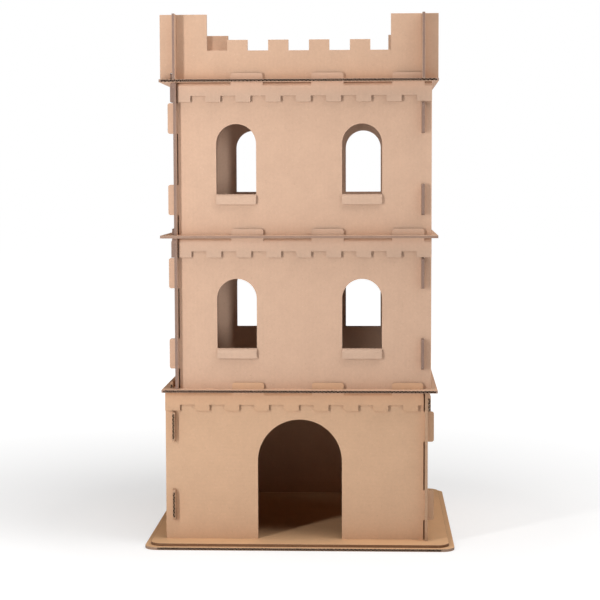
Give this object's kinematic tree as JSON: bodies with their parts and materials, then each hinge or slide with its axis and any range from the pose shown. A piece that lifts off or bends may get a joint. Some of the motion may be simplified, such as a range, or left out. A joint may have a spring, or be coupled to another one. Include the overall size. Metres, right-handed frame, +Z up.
{
  "type": "cardboard castle",
  "caption": "Square castle tower of slotted and folded corrugated board sheets: arched doorway and windows, toothed bands, floor boards with hatches, a crenellated parapet and a double base.",
  "frame": {"origin": "middle of the underside of the lower base board", "axes": "+Z up, the wall with the doorway faces -Y, +X to the right seen from in front of it"},
  "size_m": [0.561, 0.561, 0.9622],
  "materials": {
    "base_board": "brown kraft liner, matt, open flutes at the edges",
    "ground_wall_board": "brown kraft liner, matt, open flutes at the edges",
    "floor_board": "brown kraft liner, matt, open flutes at the edges",
    "middle_wall_board": "brown kraft liner, matt, open flutes at the edges",
    "top_wall_board": "brown kraft liner, matt, open flutes at the edges",
    "parapet_board": "brown kraft liner, matt, open flutes at the edges"
  },
  "bodies": {
    "root": {"base_lower_board": "base_board", "base_upper_board": "base_board", "ground_front_wall": "ground_wall_board", "ground_right_wall": "ground_wall_board", "ground_back_wall": "ground_wall_board", "ground_left_wall": "ground_wall_board", "first_floor_board": "floor_board", "middle_front_wall": "middle_wall_board", "middle_right_wall": "middle_wall_board", "middle_back_wall": "middle_wall_board", "middle_left_wall": "middle_wall_board", "second_floor_board": "floor_board", "top_front_wall": "top_wall_board", "top_right_wall": "top_wall_board", "top_back_wall": "top_wall_board", "top_left_wall": "top_wall_board", "roof_board": "floor_board", "front_parapet": "parapet_board", "right_parapet": "parapet_board", "back_parapet": "parapet_board", "left_parapet": "parapet_board"}
  },
  "joints": []
}
